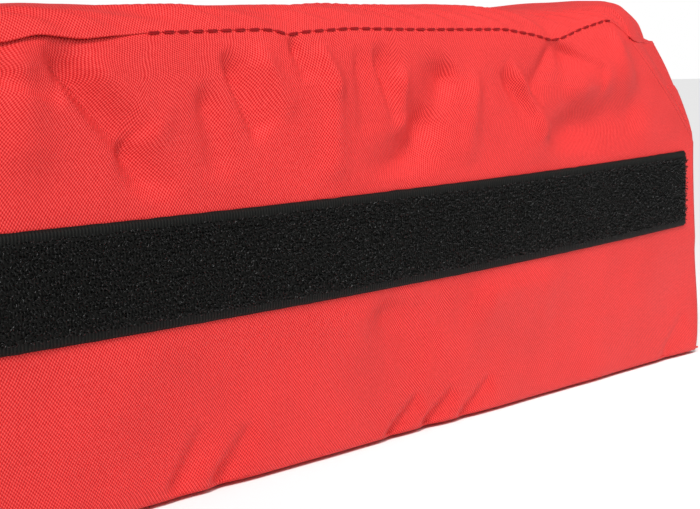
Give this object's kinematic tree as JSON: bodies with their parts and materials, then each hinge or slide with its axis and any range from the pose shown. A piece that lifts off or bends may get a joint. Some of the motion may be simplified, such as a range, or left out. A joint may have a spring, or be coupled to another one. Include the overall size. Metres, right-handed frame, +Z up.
{
  "type": "fire blanket in a soft zip pouch",
  "caption": "Folded fire blanket in a soft red nylon pouch with a zip lid, a webbing handle on the rear and a black hook strip along the front wall.",
  "frame": {"origin": "centre of the pouch's footprint, on the surface that the back panel lies on", "axes": "+X along the pouch's length, +Y from the front wall with the hook strip towards the rear wall with the handle, +Z up"},
  "size_m": [0.343, 0.2724, 0.1172],
  "materials": {
    "red_nylon": "satin",
    "red_zip_tape": "matte",
    "red_zip_coil": "satin",
    "red_binding": "matte",
    "black_hook_tape": "matte",
    "black_webbing": "matte",
    "plated_zinc": "satin",
    "glass_cloth": "matte",
    "card": "matte"
  },
  "bodies": {
    "pouch": {"back_panel": "red_nylon", "front_wall": "red_nylon", "left_corner_piece": "red_nylon", "right_corner_piece": "red_nylon", "lower_gusset": "red_nylon", "lower_seam_binding": "red_binding", "hinge_seam_binding": "red_binding", "lower_zip_tape": "red_zip_tape", "lower_zip_coil": "red_zip_coil", "left_zip_end_patch": "red_nylon", "right_zip_end_patch": "red_nylon", "hook_strip": "black_hook_tape", "left_handle_end": "black_webbing", "right_handle_end": "black_webbing"},
    "lid": {"lid_panel": "red_nylon", "upper_gusset": "red_nylon", "upper_zip_tape": "red_zip_tape", "upper_zip_coil": "red_zip_coil", "lid_seam_binding": "red_binding"},
    "left_slider": {"left_slider_body": "plated_zinc", "left_slider_bridge": "plated_zinc"},
    "right_slider": {"right_slider_body": "plated_zinc", "right_slider_bridge": "plated_zinc"},
    "left_pull": {"left_pull_tab": "plated_zinc"},
    "right_pull": {"right_pull_tab": "plated_zinc"},
    "blanket": {"folded_blanket": "glass_cloth", "left_pull_tape": "black_webbing", "right_pull_tape": "black_webbing", "instruction_card": "card"},
    "carry_handle": {"handle_webbing": "black_webbing"}
  },
  "joints": [
    {"name": "lid_swing", "type": "hinge", "parent": "pouch", "child": "lid", "pos_m": [0, -0.1263, 0.106], "axis": [1, 0, 0], "range_deg": [0, 180]},
    {"name": "left_zip_slide", "type": "slide", "parent": "pouch", "child": "left_slider", "axis": [-1, 0, 0], "range_m": [0, 0.127]},
    {"name": "right_zip_slide", "type": "slide", "parent": "pouch", "child": "right_slider", "axis": [1, 0, 0], "range_m": [0, 0.127]},
    {"name": "blanket_lift", "type": "slide", "parent": "pouch", "child": "blanket", "axis": [0, 0, 1], "range_m": [0, 0.09]},
    {"name": "left_tab_flip", "type": "hinge", "parent": "left_slider", "child": "left_pull", "pos_m": [-0.0074, 0.12414, 0.082], "axis": [0, 0, -1], "range_deg": [0, 90]},
    {"name": "right_tab_flip", "type": "hinge", "parent": "right_slider", "child": "right_pull", "pos_m": [0.0074, 0.12414, 0.082], "axis": [0, 0, 1], "range_deg": [0, 90]},
    {"name": "handle_swing", "type": "hinge", "parent": "pouch", "child": "carry_handle", "pos_m": [0, 0.1287, 0.032], "axis": [1, 0, 0], "range_deg": [-30, 30], "stiffness_Nm_per_rad": 0.05}
  ],
  "couplings": [
    {"joint": "left_zip_slide", "follows": "lid_swing", "m_per_rad": 0.04},
    {"joint": "right_zip_slide", "follows": "lid_swing", "m_per_rad": 0.04},
    {"joint": "blanket_lift", "follows": "lid_swing", "m_per_rad": 0.0286}
  ]
}
